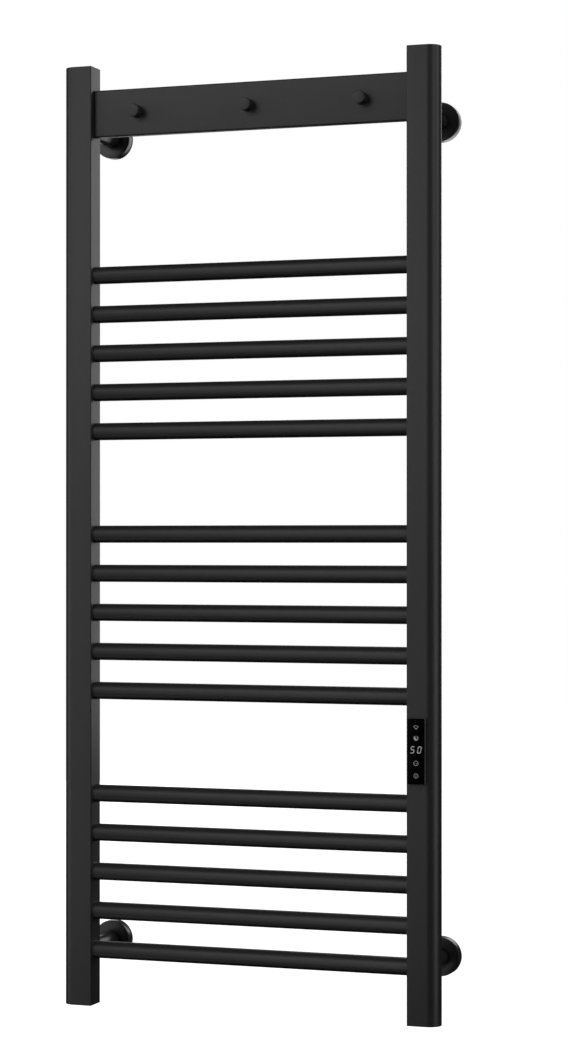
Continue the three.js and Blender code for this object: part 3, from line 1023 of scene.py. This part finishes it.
# One spring from the board to the back of the glass. The ring it is wound from lies along its own
# path, so it comes out as a flat band: without the quarter turn it would be a round wire.
def springCoil(reach):
    bm = bmesh.new()
    bmesh.ops.create_circle(bm, cap_ends=False, segments=touchSpring["wireSides"],
                            radius=touchSpring["wire"])
    moved(quarterTurned(bm, "Y"), touchSpring["radius"])
    steps = touchSpring["turns"] * touchSpring["stepsPerTurn"]
    travel = reach - 2 * touchSpring["wire"]
    bmesh.ops.spin(bm, geom=bm.verts[:] + bm.edges[:], cent=(0, 0, 0), axis=(0, 1, 0),
                   dvec=(0, -travel / steps, 0), angle=touchSpring["turns"] * 2 * math.pi, steps=steps,
                   use_merge=False, use_duplicate=False)
    bmesh.ops.holes_fill(bm, edges=[edge for edge in bm.edges if edge.is_boundary], sides=0)
    bmesh.ops.recalc_face_normals(bm, faces=bm.faces[:])
    return moved(bm, 0, -touchSpring["wire"], 0)


def buildSprings():
    low, high, centre = size("control_board")
    reach = low.y - size("control_glass")[1].y
    coils = []
    for height in touchSpring["heights"]:
        coils.append(moved(springCoil(reach), centre.x, low.y, centre.z + height * mm))
    looseDetail("control_touch_springs", joined(*coils), "zinc_steel", 60)


def buildDisplay():
    low, high, centre = size("display_module")
    bm = centredPlate(high.x - low.x, high.z - low.z, display["edge"], high.y - low.y, 3)
    front = max(bm.faces, key=lambda face: face.calc_center_median().z)
    bmesh.ops.inset_region(bm, faces=[front], thickness=display["frame"], depth=0)
    bmesh.ops.translate(bm, verts=front.verts[:], vec=(0, 0, -display["recess"]))
    roundEdges(bm, display["fineEdge"], 2)
    piece = objectFrom("display_module_body", facing(bm, centre.x, high.y, centre.z))
    return finishPiece(piece, "display_module", "display_grey")


buildBoard()
buildChips()
buildSprings()
buildDisplay()
print("inside of the control built")

# Terminal block, sensor and heating cable.

terminal = {"edge": 0.4 * mm, "spacing": 6 * mm, "well": 2.1 * mm, "wellDepth": 3.2 * mm, "groove": 0.5 * mm,
            "grooveDepth": 1.6 * mm, "head": 1.95 * mm, "headHeight": 1.4 * mm,
            "headEdge": 0.2 * mm, "slot": (0.5 * mm, 0.7 * mm)}
sensor = {"crimp": 0.35 * mm, "crimpFrom": 2.2 * mm, "crimpTo": 3.4 * mm, "arcSteps": 6}
cable = {"radius": 2.4 * mm, "turn": 12 * mm, "back": 28 * mm, "corner": 9 * mm, "cornerSteps": 8, "round": 3}


def buildTerminal():
    node = "terminal_block"
    low, high, centre = size(node)
    width, tall, depth = high.x - low.x, high.z - low.z, high.y - low.y
    body = centredPlate(width, tall, terminal["edge"], depth, 3)
    roundEdges(body, terminal["edge"] / 2, 2)
    piece = objectFrom(node + "_body", facing(body, centre.x, high.y, centre.z))
    tools, screws = [], []
    radius, well = terminal["well"], terminal["wellDepth"]
    for way in (-1, 0, 1):
        height = centre.z + way * terminal["spacing"]
        tools.append(moved(plug(radius, -well, well), centre.x, low.y, height))
        screws.append(moved(slottedHead(), centre.x, low.y + well, height))
    for gap in (-0.5, 0.5):
        groove = centredPlate(width * 2, terminal["groove"] * 2, terminal["groove"] / 2,
                              2 * terminal["grooveDepth"], 3)
        height = centre.z + gap * terminal["spacing"]
        tools.append(facing(groove, centre.x, low.y + terminal["grooveDepth"], height))
    finishPiece(combine(piece, tools), node, "terminal_white")
    looseDetail("terminal_screws", joined(*screws), "zinc_steel")


def slottedHead():
    radius, tall, edge = terminal["head"], terminal["headHeight"], terminal["headEdge"]
    head = turned([(0, 0), (radius, 0), (radius, edge - tall), (radius - edge, -tall), (0, -tall)],
                  "Y", 32, False)
    piece = objectFrom("head", head)
    width, depth = terminal["slot"]
    slot = centredPlate(3 * radius, width, width / 4, 2 * depth, 2)
    combine(piece, [facing(slot, 0, depth - tall, 0)])
    bm = bmesh.new()
    bm.from_mesh(piece.data)
    bpy.data.objects.remove(piece)
    return bm


# A steel bulb with a crimp near its lower end.
def buildSensor():
    low, high, centre = size("temperature_sensor")
    radius, length, crimp = (high.x - low.x) / 2, high.z - low.z, sensor["crimp"]
    quarter = quarterAngles(sensor["arcSteps"])
    profile = [(radius * math.sin(angle), radius - radius * math.cos(angle)) for angle in quarter]
    profile += [(radius, sensor["crimpFrom"]), (radius - crimp, sensor["crimpFrom"] + crimp),
                (radius - crimp, sensor["crimpTo"] - crimp), (radius, sensor["crimpTo"])]
    profile += [(radius * math.cos(angle), length - radius + radius * math.sin(angle)) for angle in quarter]
    bm = turned(profile, "Z", 48, False)
    piece = objectFrom("temperature_sensor_bulb", moved(bm, centre.x, centre.y, low.z))
    return finishPiece(piece, "temperature_sensor", "sensor_steel")


# The cable goes from the terminal block down to the lowest rung, to and fro through every rung, and back
# through the rail.
def cableCorners():
    blockLow, blockHigh, block = size("terminal_block")
    rungMiddles = [size(f"rung_{index + 1:02d}")[2] for index in range(rungCount)]
    faceX = size("right_upright")[0].x
    turnX, backX = faceX + cable["turn"], faceX + cable["back"]
    startZ, endZ = block.z - terminal["spacing"], block.z + terminal["spacing"]
    corners = [(blockHigh.x, startZ), (backX, startZ), (backX, rungMiddles[0].z)]
    for index, middle in enumerate(rungMiddles):
        endX = turnX if index % 2 else -turnX
        if index > 0:
            corners.append((-endX, middle.z))
        corners.append((endX, middle.z))
    railZ = size("top_rail")[2].z - belowRailMiddle
    corners += [(-turnX, railZ), (backX, railZ), (backX, endZ), (blockHigh.x, endZ)]
    return [Vector((x, rungMiddles[0].y, z)) for x, z in corners]


def roundCorners(corners):
    points = [corners[0]]
    for before, corner, after in zip(corners, corners[1:], corners[2:]):
        back = (before - corner).normalized() * cable["corner"]
        ahead = (after - corner).normalized() * cable["corner"]
        for angle in quarterAngles(cable["cornerSteps"]):
            points.append(corner + back * (1 - math.sin(angle)) + ahead * (1 - math.cos(angle)))
    return points + [corners[-1]]


def buildCable():
    points = roundCorners(cableCorners())
    curve = bpy.data.curves.new("heating_cable_route", "CURVE")
    curve.dimensions = "3D"
    curve.bevel_depth = cable["radius"]
    curve.bevel_resolution = cable["round"]
    curve.use_fill_caps = True
    line = curve.splines.new("POLY")
    line.points.add(len(points) - 1)
    for point, place in zip(line.points, points):
        point.co = (*place, 1)
    holder = bpy.data.objects.new("route", curve)
    bm = bmesh.new()
    bm.from_mesh(bpy.data.meshes.new_from_object(holder))
    bpy.data.objects.remove(holder)
    bmesh.ops.remove_doubles(bm, verts=bm.verts[:], dist=mergeDistance)
    bmesh.ops.recalc_face_normals(bm, faces=bm.faces[:])
    return finishPiece(objectFrom("heating_cable_jacket", bm), "heating_cable", "silicone_red", 50)


buildTerminal()
buildSensor()
buildCable()
print("wiring built")
